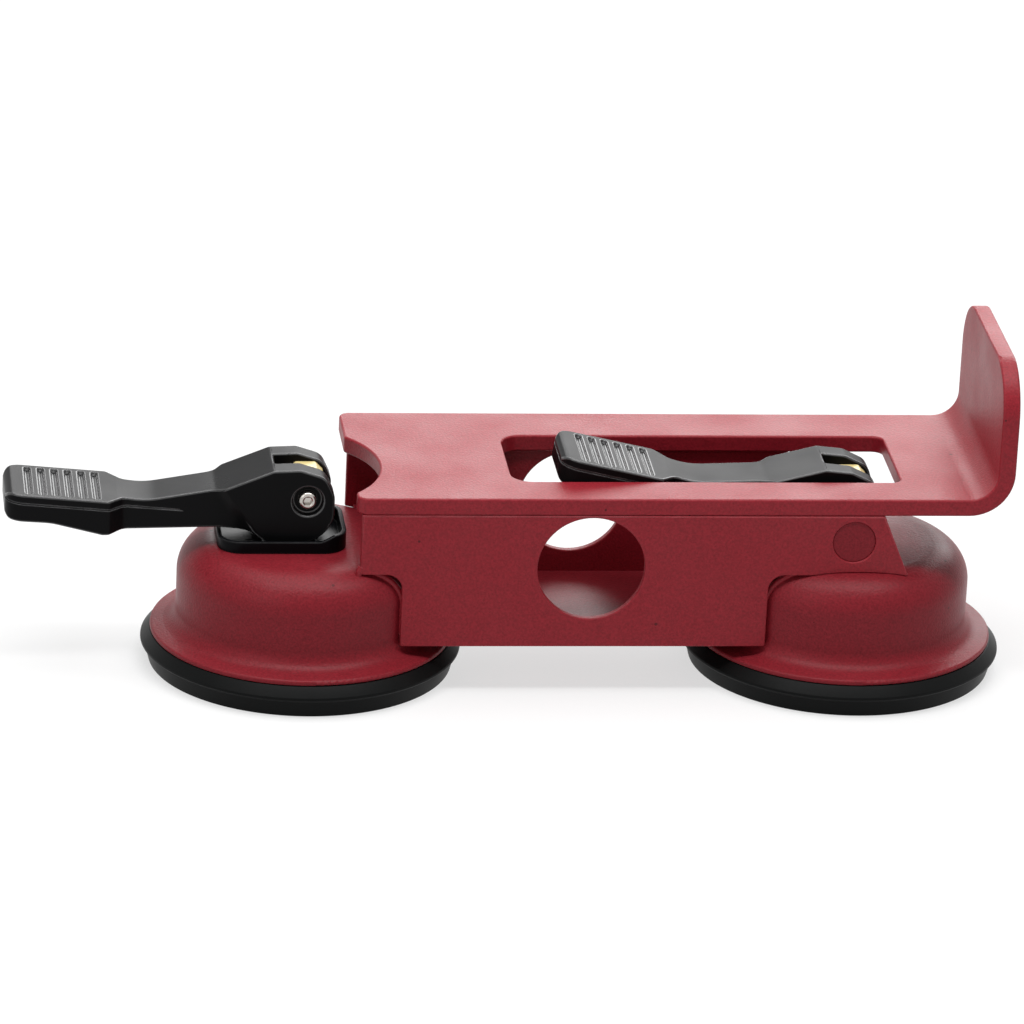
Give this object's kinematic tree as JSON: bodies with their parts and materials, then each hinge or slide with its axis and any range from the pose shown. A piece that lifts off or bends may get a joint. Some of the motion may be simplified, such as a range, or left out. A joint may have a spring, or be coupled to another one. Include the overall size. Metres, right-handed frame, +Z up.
{
  "type": "floor tile suction lifter",
  "caption": "Floor tile suction lifter: vacuum cups under a steel frame with a lever slot and a bent upstand, each cup worked by a cam lever.",
  "frame": {"origin": "on the floor, midway along and across the whole tool", "axes": "+X along the frame towards the upstand, +Y to the back, where the top plate overhangs, +Z up"},
  "size_m": [0.3766, 0.12, 0.128],
  "materials": {
    "red_coat": "textured powder coat, dull red",
    "black_plastic": "semi-gloss moulded black",
    "tray_plastic": "glossy moulded black",
    "black_rubber": "satin black rubber",
    "yellow_plastic": "pale yellow moulded",
    "bush_plastic": "natural white moulded",
    "bright_steel": "bright zinc plated",
    "spring_steel": "oiled spring steel"
  },
  "bodies": {
    "root": {"top_plate": "red_coat", "front_side_plate": "red_coat", "rear_side_plate": "red_coat", "bottom_web": "red_coat", "access_plug": "red_coat", "left_cup_housing": "red_coat", "left_rubber_pad": "black_rubber", "left_guide_bush": "bush_plastic", "left_release_spring": "spring_steel", "left_lever_tray": "tray_plastic", "right_cup_housing": "red_coat", "right_rubber_pad": "black_rubber", "right_guide_bush": "bush_plastic", "right_release_spring": "spring_steel", "right_lever_tray": "tray_plastic"},
    "left_pull_gear": {"left_yoke": "yellow_plastic", "left_pull_stud": "bright_steel", "left_pad_insert": "bright_steel", "left_stud_jam_nut": "bright_steel"},
    "left_lever_arm": {"left_lever": "black_plastic", "left_pivot_bolt": "bright_steel", "left_pivot_nut": "bright_steel"},
    "right_pull_gear": {"right_yoke": "yellow_plastic", "right_pull_stud": "bright_steel", "right_pad_insert": "bright_steel", "right_stud_jam_nut": "bright_steel"},
    "right_lever_arm": {"right_lever": "black_plastic", "right_pivot_bolt": "bright_steel", "right_pivot_nut": "bright_steel"}
  },
  "joints": [
    {"name": "left_pad_lift", "type": "slide", "parent": "root", "child": "left_pull_gear", "axis": [0, 0, 1], "range_m": [-0.007, 0], "deforming": ["left_rubber_pad", "left_release_spring"]},
    {"name": "left_lever_hinge", "type": "hinge", "parent": "left_pull_gear", "child": "left_lever_arm", "pos_m": [-0.07625, 0, 0.0678], "axis": [0, 1, 0], "range_deg": [0, 90]},
    {"name": "right_pad_lift", "type": "slide", "parent": "root", "child": "right_pull_gear", "axis": [0, 0, 1], "range_m": [-0.00638, 0.00062], "deforming": ["right_rubber_pad", "right_release_spring"]},
    {"name": "right_lever_hinge", "type": "hinge", "parent": "right_pull_gear", "child": "right_lever_arm", "pos_m": [0.12825, 0, 0.06718], "axis": [0, 1, 0], "range_deg": [-8, 82]}
  ],
  "couplings": [
    {"joint": "left_pad_lift", "follows": "left_lever_hinge", "m_per_rad": -0.0044563},
    {"joint": "right_pad_lift", "follows": "right_lever_hinge", "m_per_rad": -0.0044563}
  ]
}
